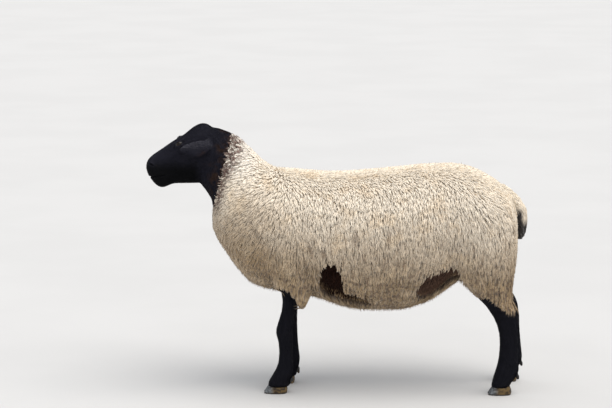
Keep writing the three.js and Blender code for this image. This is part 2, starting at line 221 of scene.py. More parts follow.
def add_light(name, kind, strength, place, colour, **settings):
    """A light that shines from its place towards the middle of the ewe."""
    light = bpy.data.lights.new(name, kind)
    light.energy = strength
    light.color = colour
    for setting, value in settings.items():
        setattr(light, setting, value)
    lamp = bpy.data.objects.new(name, light)
    lamp.location = place
    lamp.rotation_euler = (Vector(place) - EWE_MIDDLE).to_track_quat("Z", "Y").to_euler()
    bpy.context.scene.collection.objects.link(lamp)


add_light("ceiling", "SUN", CEILING_STRENGTH, CEILING_PLACE, CEILING_COLOUR, angle=CEILING_SPREAD)
panel_shape = {"shape": "SQUARE", "size": PANEL_SIZE}
add_light("side_panel", "AREA", PANEL_POWER, PANEL_PLACE, PANEL_COLOUR, **panel_shape)


# ------------------------------------------------------------
# Skin: one hide over the whole body. Under the fleece it is plain. On the face, ears and legs it
# carries the short black hair, and the head has its lids, nostrils, lips and folds.
# The body's outline is that of the coat's tips, so the skin lies inside it by the coat's depth.
# ------------------------------------------------------------

FINE_STEP = 0.003
EAR_GROWTH = 0.0016
OVERLAP = 0.0006
POINTS_UNDER_WOOL = 11000
FLEECE_DEPTH = 0.019
SMOOTHINGS = {"wool": 8, "thin_wool": 3, "black": 12, "ear": 9}
DEPTHS = {"wool": FLEECE_DEPTH, "thin_wool": 0.011, "black": 0.0025, "ear": 0.0022}
DEPTH_SPREAD = 4
BACK_THINNING = 0.56
BACK_HEIGHTS = (0.50, 0.68)


def region_of(name):
    """The kind of coat on a body part."""
    if name.startswith("ear"):
        return "ear"
    if name == "tail" or name.startswith("foreleg") and name.endswith("upper"):
        return "thin_wool"
    if name in ("trunk", "neck") or name.endswith("upper"):
        return "wool"
    return "black"


def welded(names):
    """The named nodes as points and faces in one list, each grown a little, and each face's node."""
    points, faces, owners = [], [], []
    for name in names:
        swell = EAR_GROWTH if name.startswith("ear") else OVERLAP
        shape = bmesh.new()
        shape.from_mesh(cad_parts[name].data)
        bmesh.ops.remove_doubles(shape, verts=shape.verts, dist=1e-6)
        shape.normal_update()
        start = len(points)
        points.extend(v.co + v.normal * swell for v in shape.verts)
        for face in shape.faces:
            faces.append([start + v.index for v in face.verts])
            owners.append(name)
        shape.free()
    return points, faces, owners


def new_piece(name, mesh):
    piece = bpy.data.objects.new(name, mesh)
    bpy.context.scene.collection.objects.link(piece)
    return piece


def with_modifiers(piece):
    """The piece's mesh as its modifiers leave it; the modifiers are then removed."""
    depsgraph = bpy.context.evaluated_depsgraph_get()
    mesh = bpy.data.meshes.new_from_object(piece.evaluated_get(depsgraph))
    old = piece.data
    piece.modifiers.clear()
    piece.data = mesh
    bpy.data.meshes.remove(old)
    return mesh


def remeshed(name, points, faces, step):
    """A new piece with these faces, made again as an even mesh of one closed surface."""
    mesh = bpy.data.meshes.new(name)
    mesh.from_pydata(points, [], faces)
    piece = new_piece(name, mesh)
    remesh = piece.modifiers.new("weld", "REMESH")
    remesh.mode = "VOXEL"
    remesh.voxel_size = step
    with_modifiers(piece)
    return piece


def places_of(mesh):
    found = np.empty(len(mesh.vertices) * 3)
    mesh.vertices.foreach_get("co", found)
    return found.reshape(-1, 3)


def move_to(mesh, places):
    mesh.vertices.foreach_set("co", places.ravel())
    mesh.update()
    mesh.shade_smooth()


def mark(mesh, name, values):
    """Stores one number for each point of the mesh, for its material to read."""
    mesh.attributes.new(name, "FLOAT", "POINT").data.foreach_set("value", values)


def edges_of(mesh):
    found = np.empty(len(mesh.edges) * 2, int)
    mesh.edges.foreach_get("vertices", found)
    return found.reshape(-1, 2)


def spread(values, edges, rounds):
    """Values on points, evened out with their neighbours' along the edges."""
    first, second = edges.T
    count = len(values)
    around = np.bincount(first, minlength=count) + np.bincount(second, minlength=count)
    for _ in range(rounds):
        total = np.bincount(first, values[second], count) + np.bincount(second, values[first], count)
        values = (values + total / around) / 2
    return values


def eased(values, low, high):
    """0 where a value is `low` and 1 where it is `high`, held at both ends and eased."""
    share = np.clip((values - low) / (high - low), 0, 1)
    return share * share * (3 - 2 * share)


def unit(vectors):
    return vectors / np.maximum(np.linalg.norm(vectors, axis=-1, keepdims=True), 1e-9)


class Surface:
    """A mesh's surface as it is now, on which hair and wool are laid."""

    def __init__(self, mesh):
        mesh.calc_loop_triangles()
        triangles = np.empty(len(mesh.loop_triangles) * 3, int)
        mesh.loop_triangles.foreach_get("vertices", triangles)
        normals = np.empty(len(mesh.vertices) * 3, np.float32)
        mesh.vertex_normals.foreach_get("vector", normals)
        normals = normals.reshape(-1, 3).astype(float)
        edges = edges_of(mesh)
        self.places = places_of(mesh)
        self.triangles = triangles.reshape(-1, 3)
        self.normals = unit(np.column_stack([spread(part, edges, 3) for part in normals.T]))
        self.tree = BVHTree.FromPolygons(self.places.tolist(), self.triangles.tolist())

    def near(self, places, *fields):
        """The surface's nearest points to the places, and the normals and fields' values there."""
        found = [self.tree.find_nearest(place) for place in places.tolist()]
        spots = np.array([hit[0][:] for hit in found])
        corners = self.triangles[[hit[2] for hit in found]]
        a, b, c = self.places[corners].transpose(1, 0, 2)
        whole = np.cross(b - a, c - a)
        size = np.maximum((whole ** 2).sum(1), 1e-18)
        at_b = (np.cross(spots - a, c - a) * whole).sum(1) / size
        at_c = (np.cross(b - a, spots - a) * whole).sum(1) / size
        weights = np.column_stack([1 - at_b - at_c, at_b, at_c])
        normals = unit((self.normals[corners] * weights[:, :, None]).sum(1))
        return spots, normals, *[(field[corners] * weights).sum(1) for field in fields]


flesh = [name for name in sorted(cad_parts) if "claw" not in name and "eye" not in name]
eyes = [name for name in sorted(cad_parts) if name.startswith("eye")]
points, faces, owners = welded(flesh + eyes)
body_tree = BVHTree.FromPolygons(points, faces)
skin = remeshed("skin", points, faces, FINE_STEP)


def parts_at(places):
    """The body part nearest to each place."""
    return np.array([owners[body_tree.find_nearest(place)[2]] for place in places.tolist()])


# The fleece's lower edge on the legs as seen from the side: a tuft hangs down behind the hock,
# and the front of the leg is black up to the stifle. It is the same on both sides.
FORELEG_HEM = ((-0.190, 0.362), (-0.155, 0.350), (-0.125, 0.295), (-0.110, 0.290))
HINDLEG_HEM = ((0.300, 0.300), (0.470, 0.330), (0.497, 0.338), (0.583, 0.268), (0.592, 0.335))


def over_hem(places):
    """How far above the fleece's lower edge places on the legs are."""
    line = np.array(FORELEG_HEM + HINDLEG_HEM).T
    return places[:, 2] - np.interp(places[:, 0], line[0], line[1])


def regions_at(places):
    parts = parts_at(places)
    found = np.array([region_of(part) for part in parts])
    found[(np.char.find(parts.astype(str), "leg") >= 0) & (over_hem(places) < 0)] = "black"
    return found


regions = regions_at(places_of(skin.data))
under_wool = np.flatnonzero((regions == "wool") | (regions == "thin_wool"))
group = skin.vertex_groups.new(name="under_wool")
group.add(under_wool.tolist(), 1.0, "REPLACE")
reduce = skin.modifiers.new("reduce", "DECIMATE")
faces_now = len(skin.data.polygons)
reduce.vertex_group = "under_wool"
reduce.ratio = 1 - (len(under_wool) - POINTS_UNDER_WOOL) / faces_now
with_modifiers(skin)

# The face's own frame: its origin at the tip of the nose, with one axis along the face towards
# the poll, one up out of the forehead, and one out to the side.
FACE_PITCH = math.radians(18)
EYE_RADIUS = 0.0145
EYE_TO_NOSE = 0.133
EYE_UP = 0.040
eye_low, eye_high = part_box("eye_left")
eye_middle = (eye_low + eye_high) / 2
face_along = np.array([math.cos(FACE_PITCH), 0, math.sin(FACE_PITCH)])
face_up = np.array([-math.sin(FACE_PITCH), 0, math.cos(FACE_PITCH)])
nose = np.array([eye_middle.x, 0, eye_middle.z]) - EYE_TO_NOSE * face_along - EYE_UP * face_up


def on_face(places):
    """How far along, up and out of the face places are, from the tip of the nose."""
    offset = places - nose
    return offset @ face_along, offset @ face_up, np.abs(offset[:, 1])


def refined(mesh, wanted):
    """Divides each face whose corners are all wanted into four."""
    shape = bmesh.new()
    shape.from_mesh(mesh)
    shape.verts.ensure_lookup_table()
    edges = [e for e in shape.edges if wanted[e.verts[0].index] and wanted[e.verts[1].index]]
    bmesh.ops.subdivide_edges(shape, edges=edges, cuts=1, use_grid_fill=True)
    bmesh.ops.triangulate(shape, faces=[f for f in shape.faces if len(f.verts) > 4])
    shape.to_mesh(mesh)
    shape.free()


# The mesh is made finer round the eyes and on the muzzle, and finer again at the lids.
EYE_AREA = {"radius": 0.026, "out": 0.030}
LID_AREA = {"radius": 0.021, "out": 0.035}
MUZZLE_AREA = {"length": 0.068, "height": 0.050}
for area in (EYE_AREA, LID_AREA):
    along, up, out = on_face(places_of(skin.data))
    wanted = (np.hypot(along - EYE_TO_NOSE, up - EYE_UP) < area["radius"]) & (out > area["out"])
    if area is EYE_AREA:
        wanted |= (along < MUZZLE_AREA["length"]) & (up < MUZZLE_AREA["height"])
    refined(skin.data, wanted)

regions = regions_at(places_of(skin.data))
for region, rounds in SMOOTHINGS.items():
    group = skin.vertex_groups.new(name=region)
    group.add(np.flatnonzero(regions == region).tolist(), 1.0, "REPLACE")
    smooth = skin.modifiers.new(region, "SMOOTH")
    smooth.iterations = rounds
    smooth.vertex_group = region
with_modifiers(skin)
skin.vertex_groups.clear()

# Hollows behind the elbow and before the thigh, where the fleece gives way to short brown hair:
# middle x and z, half-length, half-height, and how far the front end is tilted down.
HOLLOW_DEPTH = 0.022
FLANK_SHARE = 0.5
FLANK_ENDS = (0.15, 0.25)
HOLLOWS = [
    (-0.026, 0.392, 0.046, 0.080, 0),
    (0.030, 0.332, 0.098, 0.032, -18),
    (0.334, 0.384, 0.090, 0.050, 38),
]


def bareness(places):
    """1 in a hollow that holds no fleece, and 0 outside them all."""
    most = np.zeros(len(places))
    for x, z, half_length, half_height, tilt in HOLLOWS:
        turn = math.radians(tilt)
        along = (places[:, 0] - x) * math.cos(turn) + (places[:, 2] - z) * math.sin(turn)
        up = (places[:, 2] - z) * math.cos(turn) - (places[:, 0] - x) * math.sin(turn)
        most = np.maximum(most, 1 - (along / half_length) ** 2 - (up / half_height) ** 2)
    return eased(most, 0.0, 0.35)


# The coat's outer face, which the tips of the fleece reach, is kept for laying the locks.
coat = Surface(skin.data)
skin_edges = edges_of(skin.data)
coat_depth = spread(np.array([DEPTHS[region] for region in regions]), skin_edges, DEPTH_SPREAD)
coat_depth *= 1 - BACK_THINNING * eased(coat.places[:, 2], *BACK_HEIGHTS)
bare_share = bareness(coat.places)
coat_depth += HOLLOW_DEPTH * bare_share * (1 - FLANK_SHARE * eased(coat.places[:, 0], *FLANK_ENDS))
skin_places = coat.places - coat.normals * coat_depth[:, None]

# Lids: the skin closes round each eyeball and leaves an almond-shaped opening.
LID_OPENING = (0.0120, 0.0062, 0.0050)
ALMOND = (1.7, 1.8, 0.57)
LID_THICKNESS = 0.0015
LID_SINK = 0.0012
LID_FOLD = {"depth": 0.0008, "at": 1.62, "width": 0.12}
LID_REACH = 0.032
GAZE = (-0.22, 0.93, 0.26)


def eye_of(side):
    """An eye's middle and the way it looks: -1 is the left side and 1 the right."""
    middle = np.array([eye_middle.x, side * abs(eye_middle.y), eye_middle.z])
    return middle, unit(np.array(GAZE) * (1, side, 1))


def around_eye(places, side):
    """The places' distance and direction from an eye's middle, how squarely they face out of the
    head, and how far they are from the opening's middle, which is 1 at the lids' edges."""
    middle, gaze = eye_of(side)
    across = unit(face_along - gaze * (face_along @ gaze))
    upward = np.cross(across, gaze) * side
    offset = places - middle
    far = np.linalg.norm(offset, axis=1)
    ray = offset / far[:, None]
    a, b = EYE_RADIUS * (ray @ across), EYE_RADIUS * (ray @ upward)
    half_height = np.where(b > 0, LID_OPENING[1], LID_OPENING[2])
    lengthwise = np.abs(a / LID_OPENING[0]) ** ALMOND[0]
    edge = (lengthwise + np.abs(b / half_height) ** ALMOND[1]) ** ALMOND[2]
    return middle, far, ray, ray @ gaze, np.where(ray @ gaze > 0, edge, 3)


for side in (-1, 1):
    middle, far, ray, facing, edge = around_eye(skin_places, side)
    rim = EYE_RADIUS - LID_SINK + (LID_THICKNESS + LID_SINK) * eased(edge, 0.98, 1.16)
    crease = LID_FOLD["depth"] * np.exp(-((edge - LID_FOLD["at"]) / LID_FOLD["width"]) ** 2)
    outer = np.maximum(far, EYE_RADIUS + LID_THICKNESS)
    reach = rim + (outer - rim) * eased(edge, 1.25, 2.1) - crease
    near = (far < LID_REACH) & (facing > -0.35)
    skin_places[near] = middle + ray[near] * reach[near, None]

# Nostrils: slanting slits with a raised rim. The upper lip is split, and the mouth runs back.
NOSTRIL = {"along": 0.020, "up": 0.003, "slant": -0.75, "length": 0.0095, "width": 0.0034}
NOSTRIL_DEPTH = 0.007
NOSTRIL_RIM = 0.0014
NOSTRIL_OUT = (0.0075, 0.0125)
MOUTH = {"up": -0.036, "drop": 0.16, "corner": 0.060, "depth": 0.0034, "width": 0.0018}
MOUTH_NOTCH = 0.0018
LIP_SWELL = {"height": 0.0009, "at": 0.0045, "width": 0.0028}
CLEFT = {"width": 0.0014, "depth": 0.0020}
TEAR_PIT = {"along": 0.102, "up": 0.028, "length": 0.013, "width": 0.006, "depth": 0.0016}
along, up, out = on_face(skin_places)
turn = NOSTRIL["slant"]
down_slit = (along - NOSTRIL["along"]) * math.cos(turn) + (up - NOSTRIL["up"]) * math.sin(turn)
over_slit = (up - NOSTRIL["up"]) * math.cos(turn) - (along - NOSTRIL["along"]) * math.sin(turn)
slit = np.hypot(down_slit / NOSTRIL["length"], over_slit / NOSTRIL["width"])
push = NOSTRIL_RIM * np.exp(-((slit - 1.5) / 0.4) ** 2) - NOSTRIL_DEPTH * eased(slit, 1.0, 0.25)
push *= eased(out, *NOSTRIL_OUT)
lip = up - MOUTH["up"] + MOUTH["drop"] * along
lip_reach = eased(along, MOUTH["corner"], MOUTH["corner"] - 0.012) * eased(along, -0.02, 0.0)
notch = MOUTH_NOTCH * eased(along, 0.035, 0.012)
push -= (MOUTH["depth"] + notch) * lip_reach * np.exp(-(lip / (MOUTH["width"] + notch / 2)) ** 2)
from_swell = (np.abs(lip) - LIP_SWELL["at"]) / LIP_SWELL["width"]
push += LIP_SWELL["height"] * lip_reach * np.exp(-from_swell ** 2)
cleft = np.exp(-(out / CLEFT["width"]) ** 2) * eased(along, 0.022, 0.008) * eased(lip, -0.001, 0.003)
push -= CLEFT["depth"] * cleft * eased(up, 0.012, 0.002)
pit_along = (along - TEAR_PIT["along"]) / TEAR_PIT["length"]
pit_up = (up - TEAR_PIT["up"]) / TEAR_PIT["width"]
push -= TEAR_PIT["depth"] * np.exp(-np.hypot(pit_along, pit_up) ** 2) * (out > 0.02)
skin_places += coat.normals * np.where(along < EYE_TO_NOSE, push, 0)[:, None]

move_to(skin.data, skin_places)
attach(skin, "root")
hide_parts(*flesh)

# The fleece's front edge on the neck, as seen from the side.
COLLAR_TOP = (-0.336, 0.861)
COLLAR_FOOT = (-0.409, 0.639)
collar_length = math.dist(COLLAR_TOP, COLLAR_FOOT)


def behind_collar(x, z):
    """How far behind the fleece's front edge a place is, for numbers and for wires alike."""
    rearward = (COLLAR_TOP[1] - COLLAR_FOOT[1]) / collar_length
    downward = (COLLAR_TOP[0] - COLLAR_FOOT[0]) / collar_length
    return (x - COLLAR_TOP[0]) * rearward - (z - COLLAR_TOP[1]) * downward


CREAM = (0.87, 0.77, 0.63, 1)
SOILED = (0.38, 0.265, 0.145, 1)
SPECK = (0.15, 0.095, 0.055, 1)
STRAW = (0.74, 0.58, 0.39, 1)
CRACK_DIRT_AND_SHADE = (0.22, 0.14, 0.08, 1)
PALE_NAPE = (0.86, 0.79, 0.69, 1)
FRINGE = (0.17, 0.088, 0.064, 1)
TAIL_DIRT_AND_SHADOW = (0.020, 0.013, 0.010, 1)
DIRT_HEIGHTS = (0.74, 0.33)
DIRT_CURVE = 1.5
CLOUD_GRAIN = 7
CLOUD_DEPTH = 0.16
CHEST_PAINTED_SHADE = 0.10
SPECK_GRAIN = 70
SPECK_HEIGHTS = (0.52, 0.36)
SPECK_SHARE = 0.8
STRAW_GRAIN = 16
STRAW_SHARE = 0.5
STRING_GRAIN = 75
STRING_SHAPE = (1, 1, 0.14)
STRING_SLANT = 0.6
CRACK_HEIGHTS = (0.68, 0.50)
CRACK_SHARE = 0.6
FRINGE_WIDTH = {"throat": 0.024, "more_on_nape": 0.030}
FRINGE_GRAIN = 85
TAIL_HALF_WIDTHS = (0.052, 0.040)


def wool_markings_and_shade(place):
    """The fleece's colour: cream above, paler on the nape and soiled towards the belly, with painted
    shade on the chest, darker cracks low down that are partly dirt and partly painted shade, a brown
    fringe behind the head, and dirt with painted shadow under the tail and at its end."""
    x, y, z = (place.part(axis) for axis in range(3))
    cloud = place.noise(CLOUD_GRAIN, 2) * CLOUD_DEPTH - CLOUD_DEPTH / 2
    # Dirt grows towards the belly, and painted shade darkens the chest.
    dirt_and_chest_shade = (z + cloud - x.between(-0.10, -0.28) * CHEST_PAINTED_SHADE).between(*DIRT_HEIGHTS) ** DIRT_CURVE
    colour = dirt_and_chest_shade.mix(CREAM, SOILED)
    specks = place.noise(SPECK_GRAIN, 2).between(0.50, 0.60) * z.between(*SPECK_HEIGHTS) * SPECK_SHARE
    colour = specks.mix(colour, SPECK)
    warm = place.noise(STRAW_GRAIN, 2).between(0.50, 0.72) * STRAW_SHARE
    colour = warm.mix(colour, STRAW)
    # Dark cracks between the hanging strings low down: partly dirt and partly painted shade.
    hanging = place.stretched(STRING_SHAPE).noise(STRING_GRAIN, 2)
    slanting = place.slanted(STRING_SLANT).stretched(STRING_SHAPE).noise(STRING_GRAIN, 2)
    forwards = x.between(-0.12, -0.22)
    cracks = hanging * (1 - forwards) + slanting * forwards
    cracks = cracks.between(0.57, 0.67) * z.between(*CRACK_HEIGHTS) * CRACK_SHARE
    colour = cracks.mix(colour, CRACK_DIRT_AND_SHADE)
    nape = x.between(-0.25, -0.31) * z.between(0.70, 0.78)
    colour = nape.mix(colour, PALE_NAPE)
    fringe_width = z.between(0.70, 0.82) * FRINGE_WIDTH["more_on_nape"] + FRINGE_WIDTH["throat"]
    fringe = (behind_collar(x, z) / fringe_width).between(1.1, 0.3) * z.between(0.60, 0.64)
    curls = place.noise(FRINGE_GRAIN, 2).between(0.40, 0.60)
    colour = (fringe * curls).mix(colour, FRINGE)
    # Dark under the tail and at its end: partly dirt and partly painted shadow.
    tail_dirt_and_shadow = x.between(0.586, 0.598) * x.between(0.624, 0.612) * z.between(0.625, 0.600)
    tail_end = x.between(0.592, 0.602) * z.between(0.585, 0.552)
    wide, narrow = TAIL_HALF_WIDTHS
    tail_dirt_and_shadow = (tail_dirt_and_shadow + tail_end) * y.between(-wide, -narrow) * y.between(wide, narrow)
    return tail_dirt_and_shadow.mix(colour, TAIL_DIRT_AND_SHADOW)


FADED = (0.034, 0.0195, 0.0150, 1)
FADED_HEIGHTS = (0.60, 0.70)
FADED_SHARE = 0.8
FADED_GRAIN = 17
FADED_EDGE_GRAIN = 60


def faded(place):
    """Where the black hair is faded to brown: on the poll and the throat, most near the fleece."""
    x, z = place.part(0), place.part(2)
    patches = x.between(-0.49, -0.41) * z.between(*FADED_HEIGHTS)
    patches = patches * place.noise(FADED_GRAIN).between(0.50, 0.66)
    edge = behind_collar(x, z).between(-0.055, -0.004) * z.between(*FADED_HEIGHTS)
    edge = edge * place.noise(FADED_EDGE_GRAIN, 2).between(0.42, 0.60)
    return patches * FADED_SHARE + edge


# Painted shade on the jaw and chin, and a darker black down the legs.
JAW_SHADE_AND_LEG_BLACK = (0.0008, 0.0008, 0.0010, 1)
JAW_PAINTED_SHADE = 0.92
LEG_DARKENING = 0.50


def jaw_shade_and_darker_legs(place):
    """Where the black is darkest: painted shade on the jaw and chin, and darker down the legs."""
    x, z = place.part(0), place.part(2)
    jaw = x.between(-0.44, -0.48) * z.between(0.795, 0.745)
    return jaw * JAW_PAINTED_SHADE + z.between(0.60, 0.46) * LEG_DARKENING


BLACK = (0.0095, 0.0095, 0.0160, 1)
SOFT_BLACK = (0.0130, 0.0128, 0.0205, 1)
HAIR_LIGHT = (0.0200, 0.0195, 0.0265, 1)
MOTTLE_GRAIN = 26


def black_coat(place, tints):
    """The colour of the black hair. `tints` holds shares and the colours that they mix in."""
    black = place.noise(MOTTLE_GRAIN).between(0.35, 0.75).mix(BLACK, SOFT_BLACK)
    for share, colour in tints:
        black = share.mix(black, colour)
    # Painted shade on the jaw and chin, and darker legs.
    black = jaw_shade_and_darker_legs(place).mix(black, JAW_SHADE_AND_LEG_BLACK)
    return faded(place).mix(black, FADED)


HAIR_GRAIN = 950
FACE_HAIRS = (0.18, 1, 1)
LEG_HAIRS = (1, 1, 0.16)
DARK_SKIN_AND_SHADE = (0.020, 0.0075, 0.0045, 1)
BROWN_AT_WOOL = (0.028, 0.017, 0.013, 1)
hide_material, wire = new_material("hide", Roughness=0.7, Specular_IOR_Level=0.08)
place = wire.here()
z = place.part(2)
under_fleece = wire.attribute("wool")
on_head = place.slanted(FACE_PITCH).stretched(FACE_HAIRS).noise(HAIR_GRAIN, 2)
on_legs = place.stretched(LEG_HAIRS).noise(HAIR_GRAIN, 2)
hairs = z.between(0.50, 0.56).mix(on_legs, on_head)
light = (hairs.between(0.35, 0.75), HAIR_LIGHT)
by_wool = (under_fleece.between(0.02, 0.35), BROWN_AT_WOOL)
black = black_coat(place, [light, by_wool])
# Under the fleece the hide has the wool's colour, mixed with dark brown that is partly dirt and partly
# painted shade deep between the locks, more of it low on the body.
clear_of_dirt_and_shade = place.noise(MOTTLE_GRAIN) * 0.4 + 0.6 + z.between(0.45, 0.65) * 0.4
wool = clear_of_dirt_and_shade.mix(DARK_SKIN_AND_SHADE, wool_markings_and_shade(place))
# In the hollows the hide is dark brown: partly the hair's colour and partly painted shade.
wool = wire.attribute("bare").mix(wool, DARK_SKIN_AND_SHADE)
colour = under_fleece.between(0.42, 0.58).mix(black, wool)
feed(hide_material, Base_Color=colour, Normal=hairs.bump(0.55, 0.0008))
skin.data.materials.clear()
skin.data.materials.append(hide_material)
is_wool = np.isin(regions, ("wool", "thin_wool")).astype(float)
wool_share = spread(is_wool, skin_edges, 6)
mark(skin.data, "wool", wool_share)
mark(skin.data, "bare", bare_share)


# ------------------------------------------------------------
# Fleece: cream wool in fine crimped locks, which gather into strings as thick as a finger. Each
# lock is rooted in the skin and lies on its neighbours. The locks are short on the back, hang down
# on the sides and slant on the neck and chest, and the longest are low on the sides.
# ------------------------------------------------------------

LOCK_SPACING = 0.0047
LOCK_WIDTH = 0.0066
LOCK_RINGS = 4
LOCK_SIDES = 3
LOCK_FLATNESS = 0.75
LOCK_LENGTH = {"back": 0.035, "longer_below": 0.030}
LENGTH_RANGE = (0.75, 1.3)
WIDTH_RANGE = (0.7, 1.25)
LOCK_PROFILE = [1, 1, 1, 0.82, 0]
LOCK_SWAY = 0.14
COLLAR_SWAY = 0.5
COLLAR_SHORTENING = 0.55
COLLAR_NARROWING = 0.3
HOLLOW_SHORTENING = 0.6
BACK_NARROWING = 0.12
DARK_SHARE = 0.8
DARK_CHANCE = 0.40
CHEST_LEAN = 25
NAPE_LEAN = 50
RUMP_LEAN = 35
FLANK_LEAN = 18
CRIMP = 0.034
CRIMP_PHASE = 7
BEND = 0.003
LIFT = 0.0012
CLUMP_SPACING = 0.022
CLUMP_STRETCH = 0.35
CLUMP_PULL = {"back": 0.10, "more_below": 0.74}
SHORT_LOCK = 0.008
COVER = 4
PATCH = 0.003
chance = np.random.default_rng(11)


def along_surface(vectors, normals):
    """The vectors' parts that lie in the surface, at unit length."""
    return unit(vectors - normals * (vectors * normals).sum(-1, keepdims=True))


def scattered(surface, chosen, spacing):
    """Random places on the chosen triangles of a surface, no two nearer than `spacing`."""
    corners = surface.places[surface.triangles[chosen]]
    whole = np.cross(corners[:, 1] - corners[:, 0], corners[:, 2] - corners[:, 0])
    areas = np.linalg.norm(whole, axis=1) / 2
    tries = int(COVER * areas.sum() / spacing ** 2)
    picks = chance.choice(len(chosen), tries, p=areas / areas.sum())
    share = chance.random((tries, 2))
    over = share.sum(1) > 1
    share[over] = 1 - share[over]
    weights = np.column_stack([1 - share.sum(1), share])
    places = (corners[picks] * weights[:, :, None]).sum(1)
    cells = {}
    kept = []
    steps = [(i, j, k) for i in (-1, 0, 1) for j in (-1, 0, 1) for k in (-1, 0, 1)]
    keys = np.floor(places / spacing).astype(int).tolist()
    listed = places.tolist()
    limit = spacing ** 2
    for index, (a, b, c) in enumerate(keys):
        x, y, z = listed[index]
        near = (cells.get((a + i, b + j, c + k)) for i, j, k in steps)
        if all(p is None or (p[0] - x) ** 2 + (p[1] - y) ** 2 + (p[2] - z) ** 2 > limit for p in near):
            cells[a, b, c] = (x, y, z)
            kept.append(index)
    return places[kept]


def wool_lie(places, normals):
    """The way the wool hangs: down, slanting forwards on the neck and the flank's fold, and
    backwards on the rump. On top it parts to both sides and, on the neck, runs forwards."""
    x, y, z = places.T
    slant = eased(x, -0.10, -0.34) * (CHEST_LEAN + NAPE_LEAN * eased(z, 0.42, 0.80))
    slant -= eased(x, 0.30, 0.55) * eased(z, 0.52, 0.72) * RUMP_LEAN
    slant += FLANK_LEAN * np.exp(-((x - 0.33) / 0.08) ** 2) * eased(z, 0.56, 0.42)
    slant = np.radians(slant)
    down = np.column_stack([-np.sin(slant), 0 * x, -np.cos(slant)])
    top = eased(normals[:, 2], 0.55, 0.95)[:, None]
    outward = np.column_stack([0.5 - 1.3 * eased(x, -0.16, -0.30), 3 * y, 0 * x])
    return along_surface(down + top * outward, normals)


def strands(name, tracks, sideways, widths, flatness, sides, patches, **marks):
    """Many closed, tapered strands as one mesh. `tracks` holds each strand's line of ring centres,
    `patches` its place on the unwrapped skin, and each of `marks` one number for each strand."""
    count, rings, _ = tracks.shape
    rings -= 1
    forward = unit(np.gradient(tracks, axis=1))
    side = unit(sideways - forward * (sideways * forward).sum(-1, keepdims=True))
    lift = np.cross(side, forward)
    angle = np.arange(sides) / sides * 2 * np.pi
    across = np.cos(angle)[None, None, :, None] * side[:, :rings, None, :]
    upward = np.sin(angle)[None, None, :, None] * lift[:, :rings, None, :] * flatness
    radius = widths[:, :rings, None, None] / 2
    body = tracks[:, :rings, None, :] + radius * (across + upward)
    each = rings * sides + 1
    points = np.concatenate([body.reshape(count, -1, 3), tracks[:, rings:, :]], axis=1)

    ring, turn = np.divmod(np.arange((rings - 1) * sides), sides)
    start = ring * sides
    after = (turn + 1) % sides
    walls = np.column_stack([start + turn, start + after, start + sides + after, start + sides + turn])
    turn_end = np.arange(sides)
    last = (rings - 1) * sides
    cap = np.column_stack([last + turn_end, last + (turn_end + 1) % sides, 0 * turn_end + each - 1])
    foot = np.arange(sides)[::-1]
    one_loops = np.concatenate([walls.ravel(), cap.ravel(), foot])
    one_sizes = np.array([4] * len(walls) + [3] * sides + [sides])
    loops = (one_loops[None] + np.arange(count)[:, None] * each).ravel()
    sizes = np.tile(one_sizes, count)

    mesh = bpy.data.meshes.new(name)
    mesh.vertices.add(count * each)
    mesh.vertices.foreach_set("co", points.ravel())
    mesh.loops.add(len(loops))
    mesh.loops.foreach_set("vertex_index", loops)
    mesh.polygons.add(len(sizes))
    mesh.polygons.foreach_set("loop_start", np.cumsum(sizes) - sizes)
    mesh.update(calc_edges=True)
    mesh.shade_smooth()

    share = np.concatenate([np.repeat(np.arange(rings) / rings, sides), [1.0]])
    mark(mesh, "tip", np.tile(share, count))
    for mark_name, values in marks.items():
        mark(mesh, mark_name, np.repeat(values, each))
    wall_u = np.column_stack([turn, turn + 1, turn + 1, turn]) / sides
    wall_v = np.column_stack([ring, ring, ring + 1, ring + 1]) / rings
    cap_u = np.column_stack([turn_end, turn_end + 1, turn_end + 0.5]) / sides
    cap_v = np.column_stack([0 * cap_u[:, :2] + 1 - 1 / rings, 0 * cap_u[:, 2] + 1])
    foot_u = 0.5 + 0.5 * np.cos(angle[foot])
    one_u = np.concatenate([wall_u.ravel(), cap_u.ravel(), foot_u])
    one_v = np.concatenate([wall_v.ravel(), cap_v.ravel(), 0 * foot_u])
    one_patch = np.column_stack([one_u, one_v]) - 0.5
    layer = mesh.uv_layers.new(name="OFBake")
    layer.data.foreach_set("uv", (patches[:, None] + PATCH * one_patch[None]).ravel())
    return new_piece(name, mesh)


def patch_places(places, parts):
    """Where the tufts' patches go: their roots on the body parts' skin, unwrapped as from tubes.
    A piece's parts lie side by side, each in a strip of its own."""
    found = np.empty((len(places), 2))
    present = sorted(set(parts))
    for index, part in enumerate(present):
        chosen = parts == part
        low, high = (np.array(corner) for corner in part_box(part))
        axis = int(np.argmax(high - low))
        first, second = [other for other in range(3) if other != axis]
        offset = places[chosen] - (low + high) / 2
        around = np.arctan2(offset[:, first], offset[:, second]) / (2 * np.pi) + 0.5
        along = offset[:, axis] / (high - low)[axis] + 0.5
        found[chosen] = np.column_stack([(index + around) / len(present), np.clip(along, 0, 1)])
    return found * (1 - PATCH) + PATCH / 2


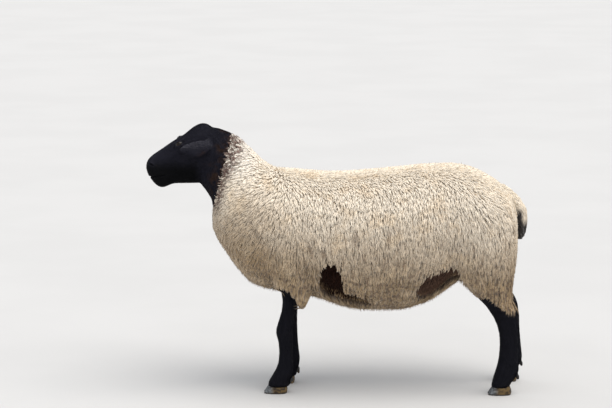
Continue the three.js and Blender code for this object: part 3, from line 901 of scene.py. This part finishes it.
def laid(surface, depth, roots, lie, lengths, rings, sway, lying, leans=1, upright=(0, 0, 0)):
    """Lines of ring centres that start at each root and follow the surface. `lying` and `upright`
    give how deep each ring is, as shares of the depth, for strands that lie, whose `leans` is 1,
    and for strands that stand, whose `leans` is 0."""
    spots, normals, depths = surface.near(roots, depth)
    way = lie(spots, normals)
    turn = chance.normal(0, sway, len(roots))[:, None]
    way = way * np.cos(turn) + np.cross(normals, way) * np.sin(turn)
    tracks = np.empty((len(roots), rings + 1, 3))
    sideways = np.empty((len(roots), rings + 1, 3))
    travelled = np.zeros(len(roots))
    for ring in range(rings + 1):
        share = ring / rings
        goal = leans * lengths * share ** 1.15
        if ring:
            spots, normals = surface.near(spots + way * (goal - travelled)[:, None])
            way = along_surface(way, normals)
            travelled = goal
        under = depths * (leans * lying[ring] + (1 - leans) * upright[ring])
        tracks[:, ring] = spots - normals * under[:, None]
        sideways[:, ring] = np.cross(normals, way)
    return tracks, sideways


def shares(rings, places, values):
    return np.interp(np.arange(rings + 1) / rings, places, values)


def clumped(tracks, sideways, roots, spacing, pull):
    """The tracks with their free ends drawn sideways towards the middles of long, narrow clumps."""
    middles = roots[chance.permutation(len(roots))]
    cells = np.floor(middles / spacing).astype(int)
    middles = middles[np.unique(cells, axis=0, return_index=True)[1]]
    tree = kdtree.KDTree(len(middles))
    for index, middle in enumerate(middles):
        tree.insert(middle, index)
    tree.balance()
    ends = tracks[:, -2]
    forward = unit(tracks[:, -2] - tracks[:, -4])
    near = np.array([[found[0][:] for found in tree.find_n(end, 8)] for end in ends.tolist()])
    near -= ends[:, None]
    lateral = (near * sideways[:, -2][:, None]).sum(2)
    along = (near * forward[:, None]).sum(2)
    best = np.argmin(lateral ** 2 + (CLUMP_STRETCH * along) ** 2, axis=1)
    gap = lateral[np.arange(len(ends)), best]
    share = np.linspace(0, 1, tracks.shape[1]) ** 1.3
    return tracks + sideways * ((gap * pull)[:, None] * share)[:, :, None]


LOW_ROOT_DIRT_AND_SHADE = (0.10, 0.062, 0.034, 1)
HIGH_ROOT_DIRT_AND_SHADE = (0.80, 0.69, 0.54, 1)
DARK_LOCK = (0.10, 0.054, 0.040, 1)
ROOT_HEIGHTS = (0.42, 0.62)
LOCK_SHADES = (0.83, 0.30)
fleece_material, wire = new_material("wool", Roughness=0.88, Sheen_Weight=0.2, Sheen_Roughness=0.6)
place = wire.here()
# Each lock darkens towards its root, more so low on the body: partly dirt and partly painted shade
# between the locks.
root = place.part(2).between(*ROOT_HEIGHTS).mix(LOW_ROOT_DIRT_AND_SHADE, HIGH_ROOT_DIRT_AND_SHADE)
colour = (1 - wire.attribute("tip").between(0.05, 0.55)).mix(wool_markings_and_shade(place), root)
colour = wire.attribute("dark").mix(colour, DARK_LOCK)
shade = wire.attribute("tint") * LOCK_SHADES[1] + LOCK_SHADES[0]
colour = wire.node("ShaderNodeVectorMath", {0: colour, "Scale": shade}, operation="SCALE")
on_lock = wire.node("ShaderNodeUVMap", {}, uv_map="OFBake")
fibres = on_lock.stretched((9 / PATCH, 1.6 / PATCH, 1)).noise(1, 2)
crimps = on_lock.stretched((1.2 / PATCH, 11 / PATCH, 1)).noise(1, 1)
relief = (fibres * 0.6 + crimps * 0.4).bump(0.7, 0.0012)
feed(fleece_material, Base_Color=colour, Normal=relief)


def add_fleece(names, part_list, spots, parts, make):
    """Makes the strands rooted on the listed body parts, in as many pieces as there are names."""
    chosen = np.flatnonzero(np.isin(parts, part_list))
    order = chosen[np.argsort(spots[chosen, 0])]
    for name, group in zip(names, np.array_split(order, len(names))):
        piece = make(name, group, patch_places(spots[group], parts[group]))
        piece.data.materials.append(fleece_material)
        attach(piece, "root")


def collar_share(places):
    """1 at the fleece's front edge on the neck, and 0 a little way behind it."""
    behind = behind_collar(places[:, 0], places[:, 2])
    return eased(behind, 0.040, 0.004) * eased(places[:, 2], 0.58, 0.64)


woolly = np.flatnonzero(np.isin(regions[coat.triangles], ("wool", "thin_wool")).all(1))


def clear_of_edges(roots):
    """The roots that are not in a hollow, nor at the fleece's lower edge on a leg."""
    in_hollow = bareness(roots) > chance.uniform(0.02, 0.45, len(roots))
    on_foreleg = (np.abs(roots[:, 1]) > 0.05) & (np.abs(roots[:, 0] + 0.16) < 0.06)
    at_hem = on_foreleg & (over_hem(roots) < 0.010)
    return roots[~(in_hollow | at_hem)]


roots = clear_of_edges(scattered(coat, woolly, LOCK_SPACING))
spots, normals, depths = coat.near(roots, coat_depth)
parts = parts_at(spots)
height = spots[:, 2]
at_collar = collar_share(spots)
leans = 1 - 0.22 * eased(normals[:, 2], 0.45, 1.0)
leans -= 0.25 * eased(normals[:, 2], -0.35, -1.0)
lengths = LOCK_LENGTH["back"] + LOCK_LENGTH["longer_below"] * eased(height, 0.74, 0.42)
lengths *= chance.uniform(*LENGTH_RANGE, len(roots)) * np.where(depths < 0.0100, 0.8, 1)
lengths *= 1 - COLLAR_SHORTENING * at_collar
over_hollow = np.maximum(bareness(spots - (0, 0, 0.022)), bareness(spots - (0, 0, 0.044)))
lengths *= 1 - HOLLOW_SHORTENING * over_hollow
above_leg = (spots[:, 0] > -0.21) & (spots[:, 0] < -0.10) & (height < 0.45) | (spots[:, 0] > 0.42)
room_below = np.where(above_leg, np.maximum(over_hem(spots), SHORT_LOCK), 1)
lengths = np.minimum(lengths, room_below * chance.uniform(1.0, 1.25, len(roots)))
lying = shares(LOCK_RINGS, [0, 0.2, 0.4, 0.6, 0.8, 1], [1, 0.62, 0.33, 0.15, 0.10, 0.16])
upright = shares(LOCK_RINGS, [0, 0.2, 0.4, 0.6, 0.8, 1], [1, 0.75, 0.5, 0.3, 0.14, 0.0])
sway = LOCK_SWAY + COLLAR_SWAY * at_collar
tracks, sideways = laid(
    coat, coat_depth, roots, wool_lie, lengths, LOCK_RINGS, sway, lying, leans, upright
)
share = np.arange(LOCK_RINGS + 1) / LOCK_RINGS
profile = shares(LOCK_RINGS, [0, 0.25, 0.50, 0.75, 1], LOCK_PROFILE)
widths = LOCK_WIDTH * chance.uniform(*WIDTH_RANGE, len(roots))
widths = widths * (1 - BACK_NARROWING * eased(height, 0.60, 0.76))
widths = (widths * (1 - COLLAR_NARROWING * at_collar))[:, None] * profile
phase = chance.uniform(0, 2 * np.pi, len(roots))[:, None]
crimp = CRIMP * lengths[:, None] * np.sin(phase + share * CRIMP_PHASE) * eased(share, 0.1, 0.5)
bend = chance.normal(0, BEND, len(roots))[:, None] * share ** 2
tracks += sideways * (crimp + bend)[:, :, None]
lifts = chance.normal(0, LIFT, len(roots))[:, None] * share
tracks += normals[:, None] * lifts[:, :, None]
pull = CLUMP_PULL["back"] + CLUMP_PULL["more_below"] * eased(height, 0.68, 0.40)
tracks = clumped(tracks, sideways, roots, CLUMP_SPACING, pull)
tints = chance.random(len(roots))
darks = DARK_SHARE * at_collar * (chance.random(len(roots)) < DARK_CHANCE)


def lock_piece(name, group, patches):
    return strands(
        name, tracks[group], sideways[group], widths[group], LOCK_FLATNESS, LOCK_SIDES, patches,
        tint=tints[group], dark=darks[group],
    )


TRUNK_FLEECE = ["fleece_chest", "fleece_shoulders", "fleece_barrel", "fleece_rump"]
add_fleece(TRUNK_FLEECE, ["trunk"], spots, parts, lock_piece)
add_fleece(["fleece_neck"], ["neck", "throat", "head"], spots, parts, lock_piece)
thighs = [part for part in flesh if part.startswith("hindleg")]
elbows = [part for part in flesh if part.startswith("foreleg")]
add_fleece(["fleece_thighs"], thighs, spots, parts, lock_piece)
add_fleece(["fleece_elbows"], elbows + ["tail"], spots, parts, lock_piece)

# Wisps: fine curled ends that stand out of the locks all over and roughen the outline.
WISP_SPACING = 0.0056
WISP_WIDTH = 0.0014
WISP_LENGTH = (0.011, 0.023)
WISP_TAPER = np.array([1, 0.75, 0])
WISP_SWAY = 0.7
WISP_CURL = 0.0016
WISP_LYING = [0.25, 0.02, -0.07]
WISP_UPRIGHT = [0.3, 0.0, -0.55]
roots = clear_of_edges(scattered(coat, woolly, WISP_SPACING))
spots, normals = coat.near(roots)
parts = parts_at(spots)
leans = 0.9 - 0.7 * eased(normals[:, 2], 0.1, 0.8)
leans -= 0.5 * eased(normals[:, 2], -0.3, -0.9)
lengths = chance.uniform(*WISP_LENGTH, len(roots))
at_collar = collar_share(spots)
lengths *= 1 - 0.5 * at_collar
lengths *= 1 - 0.5 * bareness(spots - (0, 0, 0.015))
tracks, sideways = laid(
    coat, coat_depth, roots, wool_lie, lengths, 2, WISP_SWAY, WISP_LYING, leans, WISP_UPRIGHT
)
tracks[:, 1:] += chance.normal(0, WISP_CURL, (len(roots), 2, 3))
widths = WISP_WIDTH * chance.uniform(0.6, 1.3, len(roots))[:, None] * WISP_TAPER
tints = chance.uniform(0.5, 1.0, len(roots))


def wisp_piece(name, group, patches):
    piece = strands(
        name, tracks[group], sideways[group], widths[group], 1, 3, patches,
        tint=tints[group], dark=0 * tints[group],
    )
    piece.data.attributes["tip"].data.foreach_set("value", np.ones(len(piece.data.vertices)))
    return piece


add_fleece(["wisps_front", "wisps_rear"], ["trunk"], spots, parts, wisp_piece)
add_fleece(["wisps_neck"], ["neck", "throat", "head"], spots, parts, wisp_piece)
limbs = [part for part in flesh if "leg" in part or part == "tail"]
add_fleece(["wisps_limbs"], limbs, spots, parts, wisp_piece)


# ------------------------------------------------------------
# Black hair: short, straight and flat. It runs back from the nose over the face, down the throat
# and legs, and towards the ears' tips. Each tuft lies along the skin and only its end lifts.
# ------------------------------------------------------------

HAIR_SPACING = 0.0025
HAIR_WIDTH = 0.0016
HAIR_RISE = 0.0022
HAIR_SWAY = 0.22
HAIR_FLATNESS = 0.6
HAIR_LYING = [0.15, -0.45, -0.9]
HAIR_TAPER = np.array([1, 0.85, 0])
HAIR_LENGTH = {"nose": 0.0042, "more_at_poll": 0.0048, "throat": 0.0125}
LEG_HAIR_LENGTH = {"leg": 0.0070, "more_behind": 0.0030, "fetlock": 0.0060, "over_hoof": 0.0060}
FETLOCK_HEIGHT = 0.075
EYE_SEAL = 1.22
MOUTH_SEAL = 0.0026
NOSTRIL_SEAL = 0.011

hide = Surface(skin.data)
black_share = 1 - is_wool


def hair_length(places, normals, parts):
    """Shortest on the nose, longer on the throat and crown, and longest behind the fetlocks."""
    along = on_face(places)[0]
    lengths = HAIR_LENGTH["nose"] + HAIR_LENGTH["more_at_poll"] * eased(along, 0.02, 0.18)
    lengths = np.where(parts == "throat", HAIR_LENGTH["throat"], lengths)
    on_leg = np.char.find(parts.astype(str), "leg") >= 0
    behind = eased(normals[:, 0], 0.1, 0.8)
    fetlock = np.exp(-((places[:, 2] - FETLOCK_HEIGHT) / 0.022) ** 2)
    extra = behind * (LEG_HAIR_LENGTH["more_behind"] + LEG_HAIR_LENGTH["fetlock"] * fetlock)
    extra += LEG_HAIR_LENGTH["over_hoof"] * eased(places[:, 2], 0.050, 0.035)
    return np.where(on_leg, LEG_HAIR_LENGTH["leg"] + extra, lengths)


HEAD_PARTS = ("head", "eye_left", "eye_right")
EAR_PARTS = ("ear_left", "ear_right")


def hair_lie(places, normals):
    """The way the hair runs: back over the face, down the throat and legs, out along the ears."""
    parts = parts_at(places)
    way = np.tile([0, 0, -1.0], (len(places), 1))
    way[np.isin(parts, HEAD_PARTS)] = face_along - 0.35 * face_up
    way[parts == "throat"] = (0.35, 0, -1)
    way[np.isin(parts, EAR_PARTS)] = -face_along
    return along_surface(way, normals)


black_triangles = np.flatnonzero((black_share[hide.triangles] > 0.5).all(1))
roots = scattered(hide, black_triangles, HAIR_SPACING)
spots = hide.near(roots)[0]
along, up, out = on_face(spots)
open_eye = np.zeros(len(spots), bool)
for side in (-1, 1):
    _, far, _, _, edge = around_eye(spots, side)
    open_eye |= (far < 0.03) & (edge < EYE_SEAL)
lip = np.abs(up - MOUTH["up"] + MOUTH["drop"] * along)
nose_pad = (along < 0.012) & (up < 0.004) & (up > -0.034) & (out < 0.0035)
in_nostril = np.hypot(along - NOSTRIL["along"], up - NOSTRIL["up"]) < NOSTRIL_SEAL
sealed = open_eye | (lip < MOUTH_SEAL) & (along < MOUTH["corner"]) | nose_pad | in_nostril
on_head = np.isin(parts_at(spots), HEAD_PARTS + EAR_PARTS + ("throat",))
roots = roots[~(sealed & on_head)]
spots, normals = hide.near(roots)
parts = parts_at(spots)
lengths = hair_length(spots, normals, parts) * chance.uniform(0.7, 1.3, len(roots))
rise = HAIR_RISE * (0.4 + 0.6 * eased(on_face(hide.places)[0], 0.02, 0.11))
tracks, sideways = laid(hide, rise, roots, hair_lie, lengths, 2, HAIR_SWAY, HAIR_LYING)
widths = HAIR_WIDTH * chance.uniform(0.6, 1.2, len(roots))[:, None] * HAIR_TAPER
tints = chance.random(len(roots))
# The ears' upper half gets lighter, paler hair: a painted highlight where light falls on the top of
# the ear.
on_ear = np.isin(parts, EAR_PARTS)
ear_top_highlight = eased(spots[on_ear, 2], 0.812, 0.838)
tints[on_ear] = 0.3 + (0.8 + 0.8 * tints[on_ear]) * ear_top_highlight

EAR_TOP_HIGHLIGHT = (0.092, 0.089, 0.106, 1)
HAIR_AT_WOOL = (0.034, 0.020, 0.014, 1)
hair_material, wire = new_material("black_hair", Roughness=0.55, Specular_IOR_Level=0.10)
tint = wire.attribute("tint")
light = (tint.between(0.5, 1.0), HAIR_LIGHT)
# Painted highlight on the ears' upper half.
pale_ear_highlight = (tint.between(1.0, 1.9), EAR_TOP_HIGHLIGHT)
by_wool = (wire.attribute("wool").between(0.02, 0.35), HAIR_AT_WOOL)
black = black_coat(wire.here(), [light, pale_ear_highlight, by_wool])


def hair_relief(wire, distance):
    """Normals for a tuft with fine hairs along it."""
    on_tuft = wire.node("ShaderNodeUVMap", {}, uv_map="OFBake")
    return on_tuft.stretched((6 / PATCH, 0.8 / PATCH, 1)).noise(1, 1).bump(0.5, distance)


feed(hair_material, Base_Color=black, Normal=hair_relief(wire, 0.0004))

near_wool = hide.near(spots, wool_share)[2]
HAIR_PIECES = {
    "hair_face": HEAD_PARTS,
    "hair_throat": ["throat", "neck", "trunk"],
    "hair_ears": EAR_PARTS,
    "hair_forelegs": [part for part in flesh if part.startswith("foreleg")],
    "hair_hindlegs": [part for part in flesh if part.startswith("hindleg")],
}
for name, part_list in HAIR_PIECES.items():
    group = np.flatnonzero(np.isin(parts, part_list))
    patches = patch_places(spots[group], parts[group])
    piece = strands(
        name, tracks[group], sideways[group], widths[group], HAIR_FLATNESS, 3, patches,
        tint=tints[group], wool=near_wool[group],
    )
    piece.data.materials.append(hair_material)
    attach(piece, "root")


# In the hollows the hair is brown, a little longer, and hangs down. Behind the elbows its dark brown
# is partly the hair's colour and partly painted shade; before the thigh it is paler.
HOLLOW_SPACING = 0.0042
HOLLOW_WIDTH = 0.0030
HOLLOW_SWAY = 0.3
HOLLOW_LYING = [0.15, -0.9, -2.2]
DARK_BROWN_AND_SHADE = (0.008, 0.0030, 0.0018, 1)
WARM_BROWN = (0.034, 0.0125, 0.0065, 1)
FLANK_BROWN = (0.17, 0.100, 0.070, 1)
FLANK_FADE = (0.16, 0.28)
FLANK_PALENESS = 0.85
HOLLOW_HAIR_LENGTH = (0.010, 0.022)
brown_material, wire = new_material("brown_hair", Roughness=0.7, Specular_IOR_Level=0.1)
flank = wire.here().part(0).between(*FLANK_FADE) * FLANK_PALENESS
brown = flank.mix(wire.attribute("tint").mix(DARK_BROWN_AND_SHADE, WARM_BROWN), FLANK_BROWN)
feed(brown_material, Base_Color=brown, Normal=hair_relief(wire, 0.0006))
bare_faces = (bare_share[hide.triangles] > 0.05).all(1)
wool_faces = (black_share[hide.triangles] < 0.5).all(1)
roots = scattered(hide, np.flatnonzero(bare_faces & wool_faces), HOLLOW_SPACING)
spots = hide.near(roots)[0]
parts = parts_at(spots)
lengths = chance.uniform(*HOLLOW_HAIR_LENGTH, len(roots))
tracks, sideways = laid(hide, rise, roots, wool_lie, lengths, 2, HOLLOW_SWAY, HOLLOW_LYING)
widths = HOLLOW_WIDTH * chance.uniform(0.6, 1.3, len(roots))[:, None] * HAIR_TAPER
patches = patch_places(spots, parts)
tints = chance.random(len(roots))
piece = strands("hair_hollows", tracks, sideways, widths, HAIR_FLATNESS, 3, patches, tint=tints)
piece.data.materials.append(brown_material)
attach(piece, "root")


# ------------------------------------------------------------
# Eyes: glass eyes behind the lids, with a bulging cornea, a dark amber-brown iris and the level
# slit pupil of a sheep. What shows round the iris is nearly black.
# ------------------------------------------------------------

IRIS_RADIUS = 0.0092
PUPIL = (0.0050, 0.0019)
CORNEA_BULGE = 0.0008
IRIS_STREAKS = 900
IRIS_RIM_START = 0.0060
IRIS_DARK = (0.006, 0.003, 0.0018, 1)
IRIS_LIGHT = (0.017, 0.0078, 0.0034, 1)
IRIS_RIM = (0.008, 0.005, 0.004, 1)
PUPIL_COLOUR = (0.002, 0.002, 0.003, 1)
ROUND_IRIS = (0.006, 0.004, 0.004, 1)
eye_material, wire = new_material("glass_eye", Roughness=0.05, Specular_IOR_Level=0.22)
across = wire.attribute("across")
upward = wire.attribute("upward")
from_middle = (across ** 2 + upward ** 2) ** 0.5
on_iris = wire.node("ShaderNodeCombineXYZ", {"X": across, "Y": upward})
streaks = on_iris.noise(IRIS_STREAKS)
iris = streaks.between(0.3, 0.7).mix(IRIS_DARK, IRIS_LIGHT)
iris = from_middle.between(IRIS_RIM_START, IRIS_RADIUS).mix(iris, IRIS_RIM)
pupil = ((across / PUPIL[0]) ** 4 + (upward / PUPIL[1]) ** 4).between(1.35, 0.8)
colour = pupil.mix(iris, PUPIL_COLOUR)
past_iris = from_middle.between(IRIS_RADIUS - 0.0004, IRIS_RADIUS + 0.0006)
colour = past_iris.mix(colour, ROUND_IRIS)
feed(eye_material, Base_Color=colour)
for name, side in (("eye_left", -1), ("eye_right", 1)):
    ball = bmesh.new()
    bmesh.ops.create_uvsphere(ball, u_segments=64, v_segments=40, radius=EYE_RADIUS)
    mesh = bpy.data.meshes.new("glass_" + name)
    ball.to_mesh(mesh)
    ball.free()
    middle, gaze = eye_of(side)
    level = unit(np.cross(gaze, (0, 0, 1)))
    upright_way = np.cross(level, gaze)
    rays = unit(places_of(mesh))
    angle_off = np.arccos(np.clip(rays @ gaze, -1, 1))
    bulge = CORNEA_BULGE * eased(angle_off, 0.75, 0.1)
    facing = rays @ gaze > 0
    for attribute, way in (("across", level), ("upward", upright_way)):
        values = np.where(facing, EYE_RADIUS * (rays @ way), EYE_RADIUS)
        mark(mesh, attribute, values)
    move_to(mesh, middle + rays * (EYE_RADIUS + bulge)[:, None])
    mesh.materials.append(eye_material)
    piece = new_piece("glass_" + name, mesh)
    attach(piece, "root")
    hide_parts(name)


# ------------------------------------------------------------
# Hooves: two claws of worn horn under each foot and two small dewclaws behind it. The horn grows
# down in rings, grey at the toe and dull amber along the side. The dewclaws are nearly black.
# ------------------------------------------------------------

HORN_STEP = 0.0015
RING_SPACING = 0.0034
RING_HEIGHT = 0.00022
AMBER = ((0.024, 0.014, 0.007, 1), (0.125, 0.078, 0.026, 1))
GREY = ((0.040, 0.043, 0.047, 1), (0.175, 0.185, 0.190, 1))
SOLE_EDGE = (0.030, 0.025, 0.019, 1)
DEWCLAW = (0.005, 0.004, 0.004, 1)
SOLE_EDGE_HEIGHTS = (0.007, 0.0015)
DEWCLAW_HEIGHTS = (0.036, 0.047)
HORN_MOTTLE = 120
HORN_GRAIN = 700
HORN_GRAIN_SHAPE = (1, 1, 0.25)
SOLE_FLAT = 0.0012
RING_TILT = 0.25
HORN_SMOOTHING = 4
horn_material, wire = new_material("horn", Specular_IOR_Level=0.3)
place = wire.here()
z = place.part(2)
mottle = place.noise(HORN_MOTTLE)
amber = mottle.between(0.35, 0.65).mix(*AMBER)
grey = mottle.between(0.30, 0.70).mix(*GREY)
colour = (wire.attribute("toe") + mottle * 0.3 - 0.15).between(0.52, 0.80).mix(amber, grey)
colour = z.between(*SOLE_EDGE_HEIGHTS).mix(colour, SOLE_EDGE)
colour = z.between(*DEWCLAW_HEIGHTS).mix(colour, DEWCLAW)
relief = place.stretched(HORN_GRAIN_SHAPE).noise(HORN_GRAIN).bump(0.6, 0.0005)
feed(horn_material, Base_Color=colour, Roughness=mottle * 0.25 + 0.35, Normal=relief)
for name in sorted(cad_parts):
    if "claw" not in name:
        continue
    points, faces = welded([name])[:2]
    piece = remeshed("horn_" + name, points, faces, HORN_STEP)
    smooth = piece.modifiers.new("smooth", "SMOOTH")
    smooth.iterations = HORN_SMOOTHING
    with_modifiers(piece)
    low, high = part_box(name)
    horn = Surface(piece.data)
    toe_share = (high.x - horn.places[:, 0]) / (high.x - low.x)
    drop = horn.places[:, 2] + RING_TILT * horn.places[:, 0]
    ringed = RING_HEIGHT * np.sin(drop / RING_SPACING * 2 * np.pi)
    places = horn.places + horn.normals * ringed[:, None]
    if low.z < 0.001:
        places[horn.places[:, 2] < SOLE_FLAT, 2] = 0
    places[:, 2] = np.maximum(places[:, 2], 0)
    move_to(piece.data, places)
    mark(piece.data, "toe", toe_share)
    piece.data.materials.clear()
    piece.data.materials.append(horn_material)
    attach(piece, "root")
    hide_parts(name)
